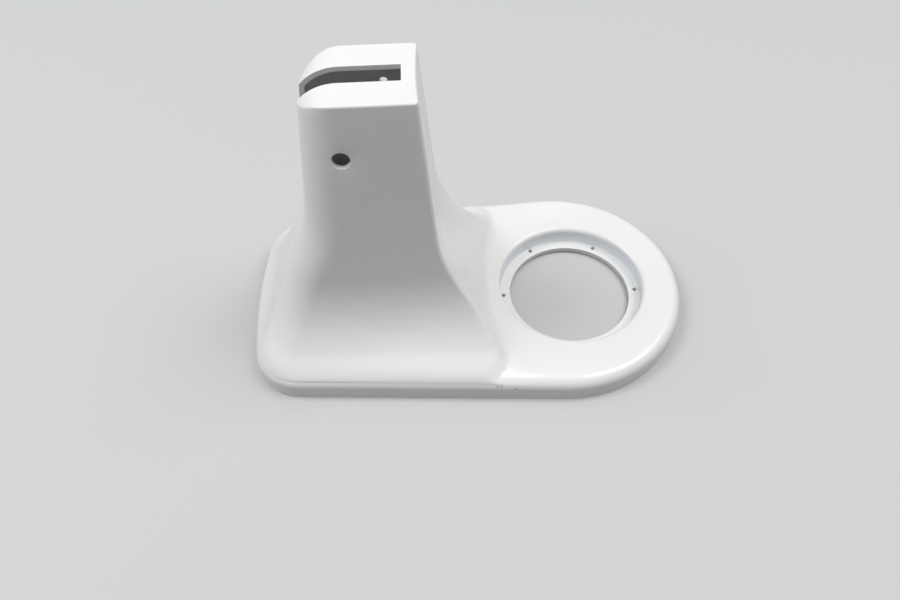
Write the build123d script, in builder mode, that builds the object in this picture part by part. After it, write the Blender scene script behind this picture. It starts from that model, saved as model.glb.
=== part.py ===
"""Hollow stand housing moulded in one piece: a slotted, tapered column that flares out into a
round-ended base with a stepped opening for a screwed-down round plate.

Millimetres, +Z up. The origin is on the floor plane, on the axis of the round opening. The lobe
points along +X and the column stands at the -X end. The form is mirrored about the XZ plane.
"""

import os
from math import asin, cos, hypot, radians, sin, sqrt, tan

from build123d import *

# ---- driving dimensions -------------------------------------------------------------------
wall = 3.2                     # nominal wall of the moulding

# base: a round lobe whose two tangent sides run back, closing in, to a slightly bowed end
lobe_r = 95.65                 # radius of the lobe at the floor
lobe_x = -9.75                 # its centre, a little behind the axis of the opening
side_angle = 3.59              # each long side closes in by this towards the back end
back_x = -247.9                # middle of the back end, at the floor
back_bow_r = 420.0             # plan radius of the back end
back_corner_r = 37.0           # plan radius of the two back corners
base_h = 18.7                  # floor to the top of the lobe
shoulder_r = 8.4               # round shoulder along the top of the rim
rim_draft = 2.6

# column: drafted on all four sides, then flaring out concavely into the base
column_h = 219.5
column_half = 29.9             # half width, at the top
side_draft = 4.65
lobe_face_x = -110.9           # corners of the face towards the lobe, at the top
lobe_face_hollow = 1.2         # how far that face is hollow in plan, at the top
lobe_draft = 4.1
back_face_x = -181.8           # back face, at the top
back_draft = 5.9
back_r = 25.0                  # plan radius of the two back corners
front_r = 3.0                  # and of the two corners towards the lobe,
front_foot_r, front_opens_z = 18.0, 62.0   # which open out to this below that height
top_edge_r = 1.4               # softened edge round the top

# side and back flares: a hollow round, tangent to the face above it and to a fuller round
# that carries it over onto the shoulder of the base
side_flare_r = 70.0
back_lean_z, back_lean_r, back_lean = 135.0, 110.0, 25.3   # the back first leans out to this
back_flare_r = 90.0
foot_round_r = 18.0
foot_meets = 15.0              # angle up the shoulder at which the fuller round meets it
foot_lap = 0.1                 # how far it starts inside the shoulder

# flare towards the lobe: height where it leaves the face, its radius, the lean of the
# straight part below it, and the soft round that brings it down onto the lobe top
lobe_flare = (118.0, 110.0)
lobe_lean_corner = 35.5        # at the two corners
lobe_lean_middle = 25.6        # and in the middle, which makes the face more hollow below
landing_r = 12.0
landing_lean = 76.0

# top of the column rolls over towards the back
roll_x = -158.0                # the roll starts here
roll_r = 33.0

# slot down the middle of the top and of the back face
slot_w = 15.7
slot_end_x = -121.0
slot_floor_z = 168.0           # lower end of the slot in the back face

# cross bore in one side, and a small hole in the other
bore_x, bore_z, bore_r = -159.2, 182.4, 5.6
bore_edge = 0.6
small_x, small_z, small_r = -133.6, 193.6, 2.6

# stepped opening for a round plate
seat_bore_r = 47.5
seat_w = 7.7                   # width of the seat ring
seat_z = 5.0                   # top face of the seat
seat_t = 4.0
cup_draft = 2.9                # wall of the recess over the seat
cup_foot_fillet = 1.6
cup_lip_fillet = 4.0           # rounded lip
screw_inset = 5.4              # screw circle, outside the edge of the bore
screw_n = 6
screw_r = 1.7

# shallow wedge-shaped relief in the edge of the seat, beside one screw hole
relief_depth = 1.0
relief_w = 3.1                 # radial width at its wide end
relief_from, relief_to = 167.6, 180.8      # angles of its tip and of its wide end

cup_foot_r = seat_bore_r + seat_w
cup_lip_r = cup_foot_r + (base_h - seat_z) * tan(radians(cup_draft))


# ---- form ---------------------------------------------------------------------------------
def on(angle):
    """Unit vector (out, up) at this angle above the horizontal."""
    return cos(radians(angle)), sin(radians(angle))


def leaning(z, top, draft, lean_z, lean_r, lean, inset):
    """How far out a face stands at height z: drafted from the column top, then through a
    hollow round into a straight lean. Moved in square to itself by `inset`."""
    a, b = radians(draft), radians(lean)
    lean_z, lean_r = lean_z - inset * sin(a), lean_r + inset
    top = top - inset / cos(a)
    out = top + (column_h - lean_z) * tan(a)
    drop = lean_z - z
    round_drop = lean_r * (sin(b) - sin(a))
    if drop <= 0:
        return top + (column_h - z) * tan(a)
    if drop <= round_drop:
        return out + lean_r * (cos(a) - cos(asin(sin(a) + drop / lean_r)))
    return out + lean_r * (cos(a) - cos(b)) + (drop - round_drop) * tan(b)


def foot_round(edge, inset):
    """Centre (out, up) of the fuller round over the shoulder, where the base reaches out to
    `edge` at the floor."""
    out, up = on(rim_draft)
    centre_z = base_h - shoulder_r
    centre = edge - centre_z * up / out - shoulder_r / out
    step = foot_round_r - shoulder_r + foot_lap
    return centre - step * on(foot_meets)[0], centre_z - step * on(foot_meets)[1]


def swept(z, face, lean, flare_r, edge, inset):
    """A face with a straight part of this lean, `face(z)`, brought through a hollow round of
    flare_r onto the fuller round over the shoulder."""
    centre = foot_round(edge, inset)
    convex_r, hollow_r = foot_round_r - inset, flare_r + inset
    out, up = on(lean)
    start = (face(base_h) + hollow_r * out - centre[0], base_h + hollow_r * up - centre[1])
    # go up the face until the hollow round just touches the fuller one
    along = -start[0] * up + start[1] * out
    square = start[0] ** 2 + start[1] ** 2 - (hollow_r + convex_r) ** 2
    rise = -along + sqrt(along ** 2 - square)
    hollow = (start[0] - rise * up + centre[0], start[1] + rise * out + centre[1])
    part = hollow_r / (hollow_r + convex_r)
    touch_z = hollow[1] + (centre[1] - hollow[1]) * part
    if z >= hollow[1] - hollow_r * up:
        return face(z)
    if z >= touch_z:
        return hollow[0] - sqrt(hollow_r ** 2 - (hollow[1] - z) ** 2)
    return centre[0] + sqrt(convex_r ** 2 - (z - centre[1]) ** 2)


def side_edge(x):
    """Half width of the base at the floor."""
    a = radians(side_angle)
    return lobe_r * cos(a) + (x - lobe_x + lobe_r * sin(a)) * tan(a)


def side_half(z, x, inset):
    return swept(z, lambda h: leaning(h, column_half, side_draft, 0, side_flare_r, side_draft,
                                      inset), side_draft, side_flare_r, side_edge(x), inset)


def back_out(z, half, inset):
    edge = -back_x - back_bow_r + sqrt(back_bow_r ** 2 - half ** 2)
    return swept(z, lambda h: leaning(h, -back_face_x, back_draft, back_lean_z, back_lean_r,
                                      back_lean, inset), back_lean, back_flare_r, edge, inset)


def lobe_face(z, top, lean, inset):
    """Face towards the lobe: its straight lean ends in a soft round down to the lobe top."""
    def face(h):
        return leaning(h, top, lobe_draft, *lobe_flare, lean, inset)
    a, b = radians(lean), radians(landing_lean)
    r, floor_z = landing_r + inset, base_h - inset
    start_z = floor_z + r * (sin(b) - sin(a))
    if z >= start_z:
        return face(z)
    drop = min(start_z - z, start_z - floor_z)
    out = face(start_z) + r * (cos(a) - cos(asin(sin(a) + drop / r)))
    return out + max(floor_z - z, 0) * tan(b)


def column_section(z, inset):
    """Section at height z: hollow arc towards the lobe, two straight sides, and a back that
    takes on the bow of the base as it flares."""
    corner = lobe_face(z, lobe_face_x, lobe_lean_corner, inset)
    middle = lobe_face(z, lobe_face_x - lobe_face_hollow, lobe_lean_middle, inset)
    bow = -back_out(z, 0, inset)
    lobe_half, back_half = side_half(z, corner, inset), side_half(z, bow, inset)
    round_r = max(back_r - inset, back_corner_r - (side_edge(bow) - back_half))
    flat_half = back_half - round_r
    back = bow + (-back_out(z, flat_half, inset) - bow) * (back_half / flat_half) ** 2
    with BuildSketch(Plane.XY.offset(z)) as s:
        with BuildLine():
            hollow = ThreePointArc((corner, -lobe_half), (middle, 0), (corner, lobe_half))
            side = Line(hollow @ 1, (back, back_half))
            if back - bow > 0.01:
                end = ThreePointArc(side @ 1, (bow, 0), (back, -back_half))
            else:
                end = Line(side @ 1, (back, -back_half))
            Line(end @ 1, hollow @ 0)
        make_face()
        opened = max(front_opens_z - z, 0) / (front_opens_z - base_h)
        front = front_r + (front_foot_r - front_r) * opened ** 2 - inset / 2
        fillet(s.vertices().sort_by(Axis.X)[-2:], front)
        fillet(s.vertices().sort_by(Axis.X)[:2], round_r)
    return s.sketch


def column(inset):
    """Straight drafted shaft, and below it the flares, lofted through sections that stand
    closer together towards the foot."""
    shaft_z = back_lean_z
    foot_z = base_h - shoulder_r + (shoulder_r - inset) * sin(radians(foot_meets))
    rows = 20
    with BuildPart() as p:
        loft([column_section(z, inset) for z in (column_h, shaft_z)], ruled=True)
        loft([column_section(foot_z + (shaft_z - foot_z) * (1 - i / rows) ** 1.5, inset)
              for i in range(rows + 1)])
    return p.part


def base_outline(inset):
    """Plan of the base at the floor."""
    r, bow_r = lobe_r - inset, back_bow_r - inset
    a = radians(side_angle)
    tangent_x, tangent_y = lobe_x - r * sin(a), r * cos(a)
    # the two sides, y = start + slope * x, end on the bowed back
    slope, bow_x = tan(a), back_x + back_bow_r
    start = tangent_y - slope * tangent_x
    mid = (bow_x - slope * start) / (1 + slope ** 2)
    end_x = mid - sqrt(mid ** 2 - (bow_x ** 2 + start ** 2 - bow_r ** 2) / (1 + slope ** 2))
    end_y = start + slope * end_x
    with BuildSketch() as s:
        with BuildLine():
            nose = ThreePointArc((tangent_x, -tangent_y), (lobe_x + r, 0), (tangent_x, tangent_y))
            side = Line(nose @ 1, (end_x, end_y))
            bow = ThreePointArc(side @ 1, (bow_x - bow_r, 0), (end_x, -end_y))
            Line(bow @ 1, nose @ 0)
        make_face()
        fillet(s.vertices().sort_by(Axis.X)[:2], back_corner_r - inset)
    return s.sketch


def base(inset):
    """The base as a block, drafted, with its rounded shoulder."""
    with BuildPart() as p:
        add(base_outline(inset))
        extrude(amount=base_h - inset, taper=rim_draft)
        fillet(p.edges().group_by(Axis.Z)[-1], shoulder_r - inset)
    return p.part


def over_top(inset):
    """Everything over the column top: flat, then falling away over the back in a quarter
    round."""
    top, r = column_h - inset, roll_r - inset
    with BuildPart() as p:
        with BuildSketch(Plane.XZ):
            with BuildLine():
                roll = ThreePointArc((roll_x, top), (roll_x - r * sin(radians(45)),
                                                     top - r * (1 - cos(radians(45)))),
                                     (roll_x - r, top - r))
                Polyline(roll @ 1, (back_x, top - r), (back_x, 2 * column_h),
                         (0, 2 * column_h), (0, top), roll @ 0)
            make_face()
        extrude(amount=lobe_r, both=True)
    return p.part


def cup(outset, seat):
    """Round recess over the seat, or with `outset` the outside of its wall, and with `seat`
    the underside of the seat."""
    with BuildPart() as p:
        with BuildSketch(Plane.XZ):
            with BuildLine():
                Polyline((0, seat_z - seat), (cup_foot_r + outset, seat_z - seat),
                         (cup_lip_r + outset, base_h), (cup_lip_r + outset, base_h + wall),
                         (0, base_h + wall), close=True)
            make_face()
        revolve(axis=Axis.Z)
    return p.part


def circle_at(part, r, z):
    return part.edges().filter_by(GeomType.CIRCLE).filter_by(
        lambda e: abs(e.radius - r) < 0.01 and abs(e.center().Z - z) < 0.01)


# ---- inner form, which leaves the wall all round -------------------------------------------
with BuildPart() as hollow:
    add(base(wall))
    add(column(wall))
    add(over_top(wall), mode=Mode.SUBTRACT)
    add(cup(wall, seat_t), mode=Mode.SUBTRACT)

# ---- the moulding --------------------------------------------------------------------------
with BuildPart() as housing:
    add(base(0))
    add(column(0))
    add(over_top(0), mode=Mode.SUBTRACT)
    # soft edge round the flat and rolled top, not across the line where one becomes the other
    round_top = [e for f in housing.faces().sort_by(Axis.Z)[-2:] for e in f.edges()]
    fillet([e for e in round_top if sum(e.is_same(o) for o in round_top) == 1], top_edge_r)

    add(cup(0, 0), mode=Mode.SUBTRACT)
    fillet(circle_at(housing, cup_lip_r, base_h), cup_lip_fillet)
    fillet(circle_at(housing, cup_foot_r, seat_z), cup_foot_fillet)
    add(hollow.part, mode=Mode.SUBTRACT)

    # opening through the seat, its screw holes and the relief
    Cylinder(seat_bore_r, 3 * seat_z, mode=Mode.SUBTRACT)
    with PolarLocations(seat_bore_r + screw_inset, screw_n):
        Cylinder(screw_r, 3 * seat_z, mode=Mode.SUBTRACT)
    with BuildSketch(Plane.XY.offset(seat_z)):
        with BuildLine():
            middle = (relief_from + relief_to) / 2
            Polyline(*[(r * cos(radians(a)), r * sin(radians(a))) for r, a in (
                (seat_bore_r, relief_from), (seat_bore_r + 2 * relief_w / 3, middle),
                (seat_bore_r + relief_w, relief_to), (seat_bore_r - relief_w / 3, relief_to))],
                close=True)
        make_face()
    extrude(amount=-relief_depth, mode=Mode.SUBTRACT)

    # slot, open at the top and at the back
    with Locations((slot_end_x, 0, slot_floor_z)):
        Box(-back_x, slot_w, column_h, align=(Align.MAX, Align.CENTER, Align.MIN),
            mode=Mode.SUBTRACT)
    # each side hole stops in the slot, so that it pierces its own wall only
    with Locations(Location((bore_x, -column_half, bore_z), (90, 0, 0))):
        Cylinder(bore_r, 2 * column_half - slot_w / 2, mode=Mode.SUBTRACT)
    with Locations(Location((small_x, column_half, small_z), (90, 0, 0))):
        Cylinder(small_r, 2 * column_half - slot_w / 2, mode=Mode.SUBTRACT)
    outside_y = -side_half(bore_z, bore_x, 0)
    mouth = housing.edges().filter_by(lambda e: all(
        abs(hypot(p.X - bore_x, p.Z - bore_z) - bore_r) < 0.01 and p.Y < outside_y + wall / 2
        for p in (e @ 0, e @ 0.5, e @ 1)))
    fillet(mouth, bore_edge)

housing.part.label = "housing"
os.makedirs("parts", exist_ok=True)
export_step(housing.part, "parts/housing.step")
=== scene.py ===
# %% [markdown]
# # A moulded stand housing
# This lesson dresses one injection moulding: a hollow white stand with a slotted column, flared
# sides and a round stepped opening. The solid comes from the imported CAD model, so nothing is
# measured again here. Every size below is in metres, in the same frame: the origin is on the
# floor under the round opening, +Z is up and +X points to the round lobe.

# %% Load the frame
import math

import bpy
from mathutils import Matrix, Vector


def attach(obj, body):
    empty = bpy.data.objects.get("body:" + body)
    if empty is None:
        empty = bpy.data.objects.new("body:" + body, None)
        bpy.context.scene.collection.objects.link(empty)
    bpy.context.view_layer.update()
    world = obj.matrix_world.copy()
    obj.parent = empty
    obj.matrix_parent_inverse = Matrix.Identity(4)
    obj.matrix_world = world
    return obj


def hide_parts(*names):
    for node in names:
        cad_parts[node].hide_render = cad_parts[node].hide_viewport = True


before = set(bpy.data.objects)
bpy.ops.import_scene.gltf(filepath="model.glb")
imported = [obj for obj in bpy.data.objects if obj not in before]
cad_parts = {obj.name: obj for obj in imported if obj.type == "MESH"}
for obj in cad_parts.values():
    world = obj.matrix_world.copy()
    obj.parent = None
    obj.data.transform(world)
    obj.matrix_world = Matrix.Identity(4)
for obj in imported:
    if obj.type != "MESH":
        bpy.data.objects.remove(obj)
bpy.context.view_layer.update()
housing_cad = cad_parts["housing"]
print("CAD mesh", len(housing_cad.data.polygons), "faces")

# %% [markdown]
# ## Start with nothing selected
# Blender's operators act on whatever is selected, and loading the frame leaves the CAD nodes
# selected. Each operator could be told what to act on instead, but one short call before a step
# is easier to read and just as safe.

# %% Deselect everything
def deselect_all():
    """Leaves nothing selected for the next operator."""
    bpy.ops.object.select_all(action="DESELECT")


deselect_all()
print("selected", len(bpy.context.selected_objects))

# %% [markdown]
# ## The plastic skin
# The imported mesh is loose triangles. On a glossy moulding the eye follows reflections, so the
# corners of the triangles have to be joined before the faces can be shaded smoothly. A remesh
# would join them too, but would wear the true edges down. So a copy is merged instead, and it
# stands for the CAD node.

# %% Copy the housing and merge its triangles
MERGE_DISTANCE = 2e-6

housing = housing_cad.copy()
housing.data = housing_cad.data.copy()
housing.name = "housing_skin"
bpy.context.collection.objects.link(housing)
bpy.context.view_layer.objects.active = housing
housing.select_set(True)
bpy.ops.object.mode_set(mode="EDIT")
bpy.ops.mesh.select_all(action="SELECT")
bpy.ops.mesh.customdata_custom_splitnormals_clear()
bpy.ops.mesh.remove_doubles(threshold=MERGE_DISTANCE)
bpy.ops.object.mode_set(mode="OBJECT")
print("merged skin", len(housing.data.vertices), "corners")

# %% [markdown]
# ## Smooth faces, sharp edges
# The flares are one smooth surface, while the slot and the holes have true edges. The edges
# could be marked by hand, one by one. Their angle tells them apart well enough: the triangles
# of the large rounds meet at far less than the angle given here, and most true edges at more
# than sixty degrees.

# %% Shade the skin by angle
SHARP_ANGLE = math.radians(32)

bpy.ops.object.shade_smooth_by_angle(angle=SHARP_ANGLE)
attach(housing, "root")
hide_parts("housing")
print("smooth faces", sum(polygon.use_smooth for polygon in housing.data.polygons))

# %% [markdown]
# ## Which faces are inside
# Every outer wall leans by its draft, so its normal points a little up. The inner walls run
# parallel to them and point a little down. A ray from each face could find out whether it looks
# into the hollow, but the height of its normal says the same. The roofs of the small holes
# count as inside too, and are too small for it to matter.

# %% Mark the inner faces
INSIDE_TILT = -0.02

inside = [polygon for polygon in housing.data.polygons if polygon.normal.z < INSIDE_TILT]
print("inner faces", len(inside), "of", len(housing.data.polygons))

# %% [markdown]
# ## Node helpers
# A finish is a small graph of nodes, and each node takes the same three lines: make it, set it,
# join it up. A node group would put those lines out of sight. Short functions keep them
# readable: each takes the node tree first and gives back the socket with its result, so that
# one call can feed the next.

# %% Add a node
def join(tree, value, socket):
    """Links a result to the socket, or writes a number, a place or a colour into it."""
    if isinstance(value, bpy.types.NodeSocket):
        tree.links.new(value, socket)
    elif isinstance(value, tuple) and len(socket.default_value) == 4:
        socket.default_value = (*value, 1)
    else:
        socket.default_value = value


def add_node(tree, kind, output, inputs, **settings):
    """Adds one node with its settings and inputs, and gives back the output asked for."""
    node = tree.nodes.new(kind)
    for name, value in settings.items():
        setattr(node, name, value)
    for name, value in inputs.items():
        join(tree, value, node.inputs[name])
    return node.outputs[output]


print("helpers: join, add_node")

# %% [markdown]
# ## Numbers and colours from nodes
# Three steps come again and again: arithmetic, a change of range, and a mix of two colours. A
# colour ramp could do the last two at once, but the numbers would be hidden in its stops. Noise
# lies mostly between 0.3 and 0.7, so a change of range starts from there.

# %% Arithmetic, range and mix
def calculate(tree, kind, first, second):
    return add_node(tree, "ShaderNodeMath", "Value", {0: first, 1: second}, operation=kind)


def remap(tree, value, low, high, from_low=0.3, from_high=0.7):
    """Stretches a value to the range from low to high, and holds it at the ends."""
    return add_node(tree, "ShaderNodeMapRange", "Result",
                    {"From Min": from_low, "From Max": from_high,
                     "To Min": low, "To Max": high, "Value": value})


def mix(tree, factor, first, second):
    return add_node(tree, "ShaderNodeMix", "Result",
                    {"Factor": factor, "A": first, "B": second}, data_type="RGBA")


print("helpers: calculate, remap, mix")

# %% [markdown]
# ## A place on the piece
# Every pattern reads Object coordinates, which are metres in the frame of the piece. A pattern
# laid over the view would slide across the plastic when it is seen from another side.

# %% Place, noise and bump
def place(tree):
    """Where a point lies on the piece, from one node that the whole tree shares."""
    known = tree.nodes.get("Texture Coordinate") or tree.nodes.new("ShaderNodeTexCoord")
    return known.outputs["Object"]


def noise(tree, scale, detail=2.0):
    return add_node(tree, "ShaderNodeTexNoise", "Fac",
                    {"Scale": scale, "Detail": detail, "Vector": place(tree)})


def bump(tree, height, depth, strength, **under):
    """Tilts the normal by a height. Normal=... lays it over another bump."""
    return add_node(tree, "ShaderNodeBump", "Normal",
                    {"Strength": strength, "Distance": depth, "Height": height, **under})


print("helpers: place, noise, bump")

# %% [markdown]
# ## A blank material
# Both finishes and the floor start from the same thing: a new material with one shader, where
# only the sockets that matter are set or joined. Plastics have a refractive index of about 1.5,
# which sets how much they mirror.

# %% Blank material
PLASTIC_IOR = 1.5


def blank_material(name):
    """A new material, its node tree and the sockets of its shader."""
    material = bpy.data.materials.new(name)
    material.use_nodes = True
    tree = material.node_tree
    return material, tree, tree.nodes["Principled BSDF"].inputs


outside, white, white_shader = blank_material("white_moulded_plastic")
white_shader["IOR"].default_value = PLASTIC_IOR
print(outside.name, "IOR", PLASTIC_IOR)

# %% [markdown]
# ## The white of the outside
# The outside is a glossy white plastic, as ABS is from a polished tool. One flat white would
# look like paper. So the tone drifts very slightly, over a few centimetres, between a clean
# white and a warmer one, too weakly to be seen as a pattern.

# %% Tone of the white
CLEAN_WHITE = (0.850, 0.850, 0.845)
WARM_WHITE = (0.835, 0.828, 0.812)
TONE_SCALE = 14

drift = remap(white, noise(white, TONE_SCALE), 0, 1)
tone = mix(white, drift, CLEAN_WHITE, WARM_WHITE)
print("white drifts by", round(CLEAN_WHITE[2] - WARM_WHITE[2], 3), "in blue")

# %% [markdown]
# ## Where the recess is
# The wall and the relief of the round recess get painted cool light and shade, and the whole
# recess is less glossy than the rest. Its faces could have a material of their own, but the
# border would then follow the triangles. A cylinder in Object coordinates marks it exactly: near
# enough to the axis, and low enough.

# %% Inside the recess
RECESS_RADIUS, RECESS_TOP = 0.0562, 0.0160

split = white.nodes.new("ShaderNodeSeparateXYZ")
join(white, place(white), split.inputs[0])
x, y, z = split.outputs
off_axis = calculate(white, "ADD", calculate(white, "MULTIPLY", x, x),
                     calculate(white, "MULTIPLY", y, y))
near_axis = calculate(white, "LESS_THAN", off_axis, RECESS_RADIUS ** 2)
low_down = calculate(white, "LESS_THAN", z, RECESS_TOP)
in_recess = calculate(white, "MULTIPLY", near_axis, low_down)
print("recess", RECESS_RADIUS, "m in radius, up to", RECESS_TOP, "m")

# %% [markdown]
# ## Marks at a place
# A stain has a centre and a radius, and a rub has two ends and a width. Both could be painted on
# an image, but a distance stays sharp, and it moves when its place is changed. A stroke works as
# a gardener's ellipse does: the way through both ends is shortest on the line between them.

# %% Spots and strokes
SPOT_CORE = 0.5


def distance(tree, point):
    return add_node(tree, "ShaderNodeVectorMath", "Value",
                    {0: place(tree), 1: point}, operation="DISTANCE")


def spot(tree, centre, radius):
    """1 in the core of the spot, falling to 0 at its radius."""
    return remap(tree, distance(tree, centre), 1, 0, radius * SPOT_CORE, radius)


def stroke(tree, start, end, width):
    """1 on the line from start to end, falling to 0 at half the width from its middle."""
    length = (Vector(start) - Vector(end)).length
    detour = calculate(tree, "ADD", distance(tree, start), distance(tree, end))
    slack = 2 * (width / 2) ** 2 / length
    return remap(tree, detour, 1, 0, length, length + slack)


print("helpers: distance, spot, stroke")

# %% [markdown]
# ## Painted cool light on the wall and relief
# The wall of the recess and the shallow relief in its seat are painted a little bluer than the
# white around them: painted cool light on the wall, and painted cool shade in the relief. The
# seat between them keeps the plain white, so they are told apart by height: the wall starts just
# above the seat, and the relief lies just below it.

# %% Painted cool light and shade in the recess
PAINTED_COOL_LIGHT_AND_SHADE = (0.80, 0.83, 0.87)
SEAT_TOP, WALL_CLEARS, RELIEF_CLEARS = 0.0050, 0.0006, 0.0003
RELIEF_PLACE, RELIEF_REACH = (-0.0490, 0.0040, 0.0042), 0.012

# Masks for the painted cool light on the recess wall and the painted cool shade in the relief.
on_wall = calculate(white, "GREATER_THAN", z, SEAT_TOP + WALL_CLEARS)
painted_cool_light_on_wall = calculate(white, "MULTIPLY", in_recess, on_wall)
below_seat = calculate(white, "LESS_THAN", z, SEAT_TOP - RELIEF_CLEARS)
painted_cool_shade_in_relief = calculate(white, "MULTIPLY", spot(white, RELIEF_PLACE, RELIEF_REACH), below_seat)
tone = mix(white, calculate(white, "MAXIMUM", painted_cool_light_on_wall, painted_cool_shade_in_relief), tone, PAINTED_COOL_LIGHT_AND_SHADE)
print("recess wall and relief", PAINTED_COOL_LIGHT_AND_SHADE)

# %% [markdown]
# ## Gloss
# Handling dulls a polished face in patches. One roughness for all of it would make every
# highlight equally crisp, so a finer noise moves the roughness within a narrow range. The recess
# is duller all over.

# %% Gloss of the outside
HANDLED_SCALE, HANDLED_DETAIL = 45, 4
POLISHED, HANDLED = 0.17, 0.26
RECESS_DULLER = 0.14

handling = noise(white, HANDLED_SCALE, HANDLED_DETAIL)
duller = calculate(white, "MULTIPLY", in_recess, RECESS_DULLER)
roughness = calculate(white, "ADD", remap(white, handling, POLISHED, HANDLED), duller)
join(white, roughness, white_shader["Roughness"])
print("roughness", POLISHED, "to", HANDLED, "and", RECESS_DULLER, "more in the recess")

# %% [markdown]
# ## Waviness and grain
# A moulding shrinks as it cools, which leaves its faces very slightly wavy, and that makes a
# highlight on plastic swim. The waves are too shallow to model, so they are a bump, and the
# fine grain of the recess is a second bump on top of it.

# %% Surface of the outside
WAVE_SCALE, WAVE_DEPTH, WAVE_STRENGTH = 38, 0.0003, 0.2
GRAIN_SCALE, GRAIN_DETAIL, GRAIN_DEPTH, GRAIN_STRENGTH = 900, 1, 0.00008, 0.5

wave = bump(white, noise(white, WAVE_SCALE), WAVE_DEPTH, WAVE_STRENGTH)
grain_height = calculate(white, "MULTIPLY", noise(white, GRAIN_SCALE, GRAIN_DETAIL), in_recess)
grain = bump(white, grain_height, GRAIN_DEPTH, GRAIN_STRENGTH, Normal=wave)
join(white, grain, white_shader["Normal"])
print("waves of", round(1000 / WAVE_SCALE), "mm, grain of", round(1000 / GRAIN_SCALE, 1), "mm")

# %% [markdown]
# ## Specks
# Three specks sit in the shoulder of the near rim. They are stains and not dents, so they change
# the colour alone, and each lets a little of the white show through.

# %% Specks in the rim
SPECKS = (((-0.0656, -0.0909, 0.0141), 0.0008), ((-0.0625, -0.0910, 0.0144), 0.0009),
          ((-0.0526, -0.0923, 0.0125), 0.0010))
SPECK_BROWN, SPECK_STRENGTH = (0.36, 0.27, 0.24), 0.75

for centre, radius in SPECKS:
    stain = calculate(white, "MULTIPLY", spot(white, centre, radius), SPECK_STRENGTH)
    tone = mix(white, stain, tone, SPECK_BROWN)
print("specks", len(SPECKS))

# %% [markdown]
# ## Rub mark
# One faint grey rub runs down the recess wall at a slant. A scratch cut into the mesh would
# catch the light, and this one is only a trace of grey. It is the last layer of the tone, which
# can then be joined to the shader.

# %% Rub mark in the recess
RUB_FROM, RUB_TO, RUB_WIDTH = (-0.0332, 0.0447, 0.0143), (-0.0273, 0.0480, 0.0052), 0.0012
RUB_GREY, RUB_STRENGTH = (0.62, 0.62, 0.65), 0.45

rub = calculate(white, "MULTIPLY", stroke(white, RUB_FROM, RUB_TO, RUB_WIDTH), RUB_STRENGTH)
tone = mix(white, rub, tone, RUB_GREY)
join(white, tone, white_shader["Base Color"])
print(outside.name, len(white.nodes), "nodes")

# %% [markdown]
# ## Plain inside
# The core side of such a tool is seldom polished, so the inside is satin, with a fine even
# grain. It could share the outside's white, but it is painted a shade darker, as painted shade
# that keeps the hollow dim. It shows when the stand is turned over, and as the far wall in the
# slot.

# %% Inside finish
SHADED_INSIDE_LIGHT, SHADED_INSIDE_DARK, INSIDE_TONE_SCALE = (0.80, 0.80, 0.79), (0.76, 0.755, 0.74), 20
SATIN_FROM, SATIN_TO, SATIN_SCALE, SATIN_DETAIL = 0.42, 0.55, 120, 3
CORE_GRAIN_SCALE, CORE_GRAIN_DETAIL, CORE_GRAIN_DEPTH, CORE_GRAIN_STRENGTH = 700, 2, 0.0001, 0.5

within, satin, satin_shader = blank_material("inside_satin_plastic")
satin_drift = remap(satin, noise(satin, INSIDE_TONE_SCALE), 0, 1)
# The inside's base colour is painted shade: a shade darker than the outside's white.
join(satin, mix(satin, satin_drift, SHADED_INSIDE_LIGHT, SHADED_INSIDE_DARK), satin_shader["Base Color"])
satin_patches = noise(satin, SATIN_SCALE, SATIN_DETAIL)
join(satin, remap(satin, satin_patches, SATIN_FROM, SATIN_TO), satin_shader["Roughness"])
core_grain = noise(satin, CORE_GRAIN_SCALE, CORE_GRAIN_DETAIL)
core_normal = bump(satin, core_grain, CORE_GRAIN_DEPTH, CORE_GRAIN_STRENGTH)
join(satin, core_normal, satin_shader["Normal"])
satin_shader["IOR"].default_value = PLASTIC_IOR
print(within.name, len(satin.nodes), "nodes")

# %% [markdown]
# ## Both finishes on one skin
# The moulding is one closed shape. It could be split into an outer and an inner object, but
# neither would be closed, so it stays one object. Each face names its finish by a place in a
# list: the outside is 0 and the inside is 1.

# %% Put the finishes on
housing.data.materials.clear()
for material in (outside, within):
    housing.data.materials.append(material)
for polygon in housing.data.polygons:
    polygon.material_index = 0
for polygon in inside:
    polygon.material_index = 1
print([material.name for material in housing.data.materials])

# %% [markdown]
# ## Floor
# A plain pale sheet under the object. It looks pale, but throws back only a little light, so
# that the upright faces of a white object still read darker than its top. Light Path tells the
# two apart: the camera and the reflections see the pale colour, all other rays the dark one.

# %% Floor
FLOOR_SIZE, FLOOR_ROUGHNESS = 8, 0.7
FLOOR_PALE, FLOOR_DARK = (0.58, 0.58, 0.585), (0.05, 0.05, 0.05)


def seen_or_reflected(tree):
    """1 for what the camera sees, directly or in a reflection."""
    path = tree.nodes.new("ShaderNodeLightPath").outputs
    return calculate(tree, "MAXIMUM", path["Is Camera Ray"], path["Is Glossy Ray"])


deselect_all()
bpy.ops.mesh.primitive_plane_add(size=FLOOR_SIZE, location=(0, 0, 0))
floor = bpy.context.object
floor.name = "floor"
pale_floor, sheet, sheet_shader = blank_material("pale_floor")
sheet_colour = mix(sheet, seen_or_reflected(sheet), FLOOR_DARK, FLOOR_PALE)
join(sheet, sheet_colour, sheet_shader["Base Color"])
sheet_shader["Roughness"].default_value = FLOOR_ROUGHNESS
floor.data.materials.append(pale_floor)
print("floor", FLOOR_SIZE, "m square")

# %% [markdown]
# ## Soft studio light
# A large soft box hangs overhead and one stands high at each side, a touch cooler than the
# even light of the room. They stand far off, so that the top of the column, which is nearer
# to them, gets little more light than the base. None stands by the camera, so the near faces
# stay the darkest, and the curve of each flare shows as a slow change from grey to white.

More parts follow.
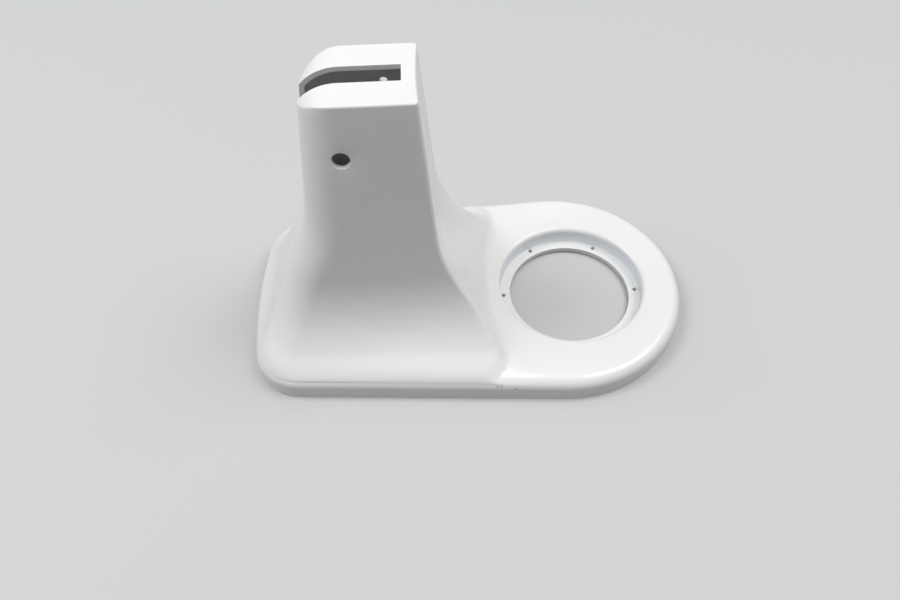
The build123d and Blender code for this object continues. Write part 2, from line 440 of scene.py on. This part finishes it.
# %% Lights
LAMPS = {
    "overhead": ((-0.1, 0.1, 2.4), (2.4, 2.0), 4.3, (1.0, 1.0, 1.0)),
    "left": ((-1.9, 0.15, 2.4), (1.5, 1.5), 38.5, (0.93, 0.97, 1.0)),
    "right": ((1.4, 0.25, 2.7), (1.5, 1.5), 36.5, (0.95, 0.98, 1.0)),
}
AIM = Vector((-0.1, 0, 0.08))

for name, (position, size, watts, colour) in LAMPS.items():
    deselect_all()
    bpy.ops.object.light_add(type="AREA", location=position)
    lamp = bpy.context.object
    lamp.name = name
    lamp.rotation_euler = (AIM - Vector(position)).to_track_quat("-Z", "Y").to_euler()
    lamp.data.shape = "RECTANGLE"
    lamp.data.size, lamp.data.size_y = size
    lamp.data.energy = watts
    lamp.data.color = colour
    print("lamp", name, watts, "W")

# %% [markdown]
# ## Room light and backdrop
# The room adds an even, slightly warm light from all around, which fills the shadows. What is
# seen past the floor is the same world at another strength, told apart by Light Path again, so
# the backdrop can be pale without more light on the object. The Standard view shows colours as
# they are written.

# %% Room light
ROOM_COLOUR, ROOM_STRENGTH, BACKDROP = (1.0, 0.985, 0.965), 0.46, 0.62

world = bpy.data.worlds.new("studio")
bpy.context.scene.world = world
world.use_nodes = True
room = world.node_tree
background = room.nodes["Background"].inputs
join(room, ROOM_COLOUR, background["Color"])
strength = remap(room, seen_or_reflected(room), ROOM_STRENGTH, BACKDROP, 0, 1)
join(room, strength, background["Strength"])
bpy.context.scene.view_settings.view_transform = "Standard"
print("room light", ROOM_STRENGTH, "backdrop", BACKDROP)

# %% [markdown]
# ## Camera
# The camera looks down on the near long side by about fifty degrees, with the column left of
# the middle. It could be made to track a point, but a track keeps it level, and this one is
# turned by about a degree. So its matrix is built from the directions of its own three axes.

# %% Camera
CAMERA_PLACE = Vector((-0.10432, -0.37774, 0.48742))
CAMERA_RIGHT = Vector((0.99888678, -0.04388344, -0.01730459))
CAMERA_UP = Vector((0.04525885, 0.78814448, 0.61382401))
CAMERA_BACK = Vector((-0.01329819, -0.61392387, 0.78925322))
SENSOR_MM, LENS_MM = 36, 30.486
NEAREST, FARTHEST = 0.01, 20

camera_data = bpy.data.cameras.new("camera")
camera_data.sensor_width = SENSOR_MM
camera_data.lens = LENS_MM
camera_data.clip_start, camera_data.clip_end = NEAREST, FARTHEST
camera = bpy.data.objects.new("camera", camera_data)
axes = Matrix((CAMERA_RIGHT, CAMERA_UP, CAMERA_BACK)).transposed()
camera.matrix_world = Matrix.Translation(CAMERA_PLACE) @ axes.to_4x4()
bpy.context.collection.objects.link(camera)
bpy.context.scene.camera = camera
print("looks down by", round(math.degrees(math.asin(CAMERA_BACK.z))), "degrees")
